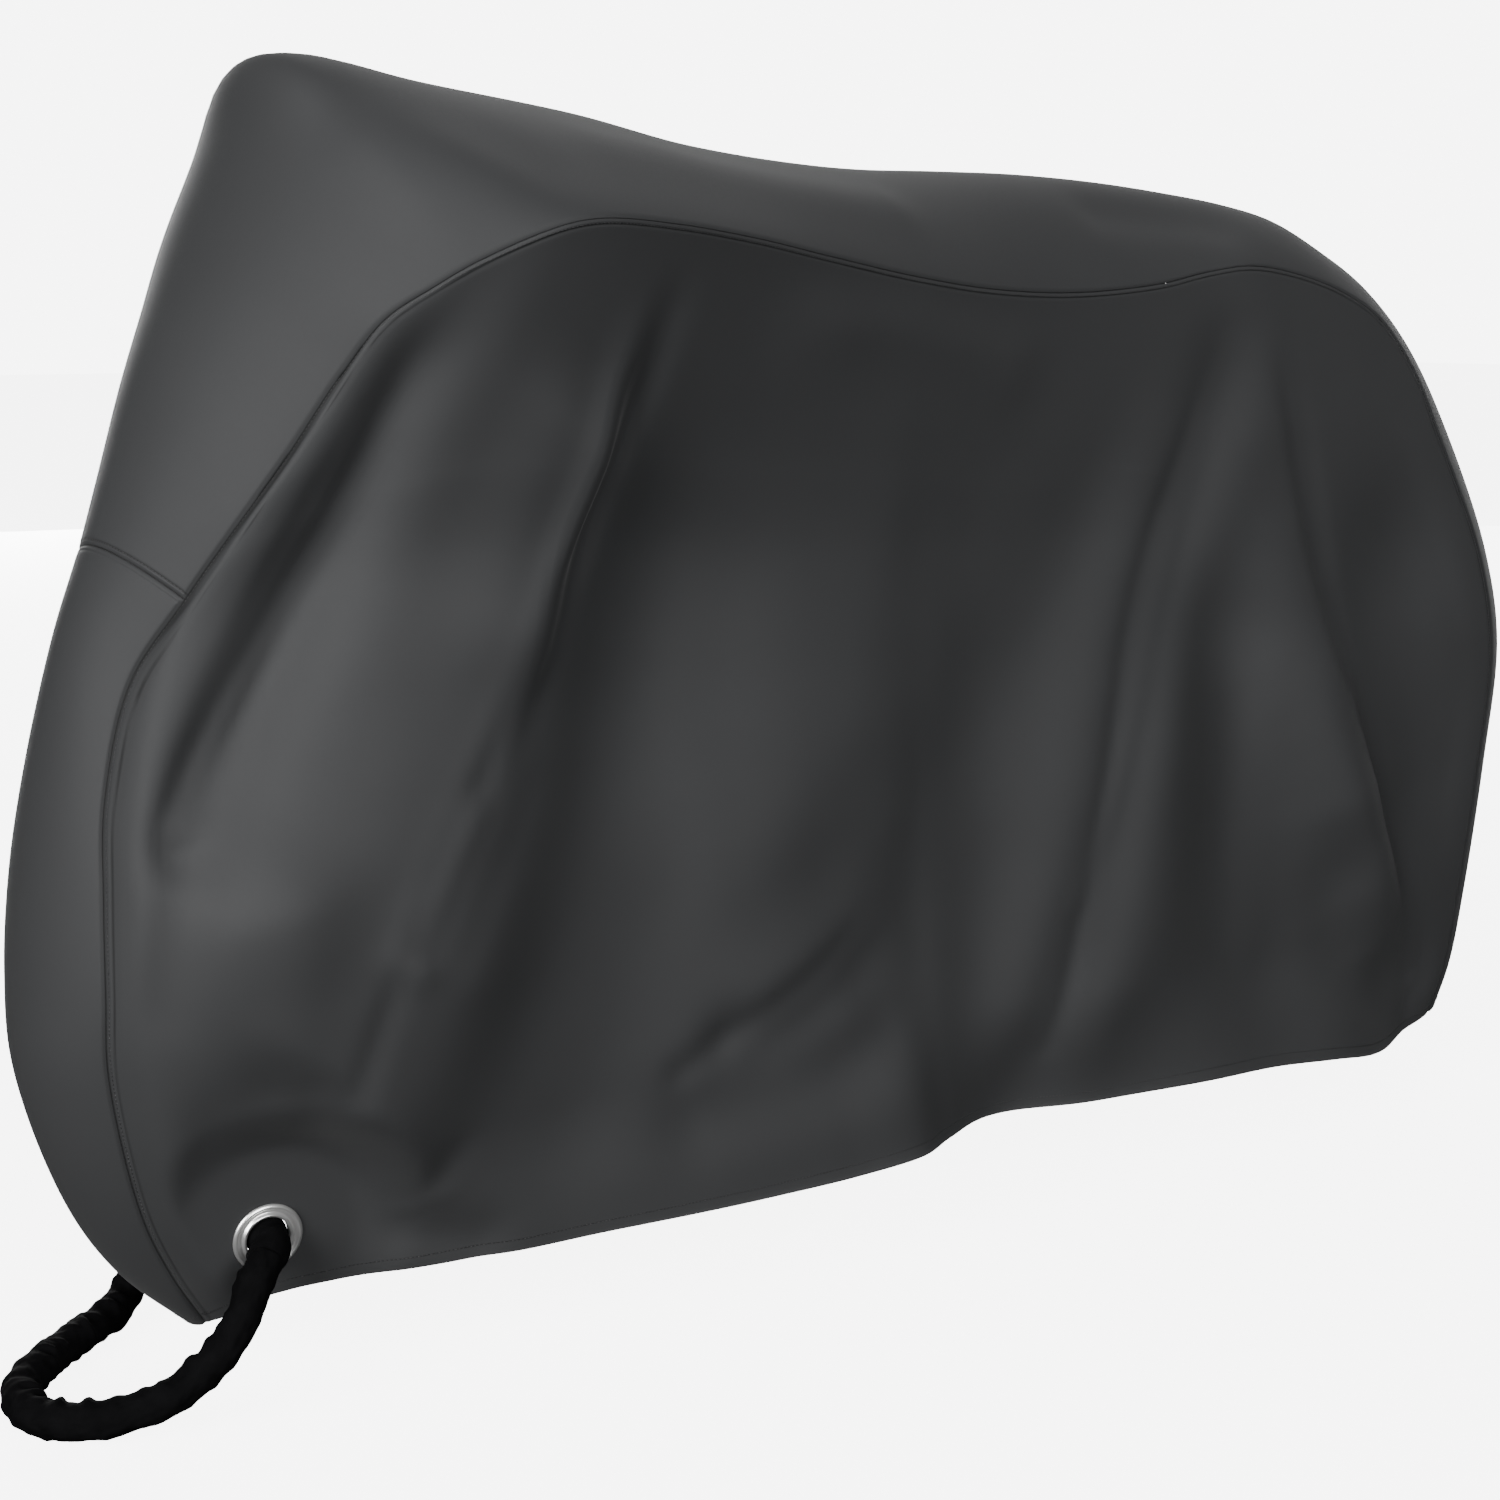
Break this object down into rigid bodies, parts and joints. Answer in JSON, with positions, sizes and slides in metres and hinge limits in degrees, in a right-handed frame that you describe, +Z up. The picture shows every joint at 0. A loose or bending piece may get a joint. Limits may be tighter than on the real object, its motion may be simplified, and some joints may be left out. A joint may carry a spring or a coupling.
{
  "type": "bicycle cover",
  "caption": "Fitted black cloth bicycle cover draped as in use, with side panels, a top gusset, metal eyelets in its lower front corners and a lock's gathered cloth sleeve through them.",
  "frame": {"origin": "on the underside of the top gusset's cloth, on the middle plane, above the place of the saddle, where what is covered holds the cover up", "axes": "+X towards the back, -Y the near side panel, +Z up"},
  "size_m": [1.7352, 0.48, 1.0376],
  "materials": {
    "cover_cloth": "coated polyester, soft sheen",
    "eyelet_metal": "polished",
    "sleeve_cloth": "matt, gathered"
  },
  "bodies": {
    "root": {"near_panel": "cover_cloth", "far_panel": "cover_cloth", "top_gusset": "cover_cloth", "front_gusset": "cover_cloth", "near_eyelet": "eyelet_metal", "far_eyelet": "eyelet_metal", "lock_sleeve": "sleeve_cloth"}
  },
  "joints": []
}
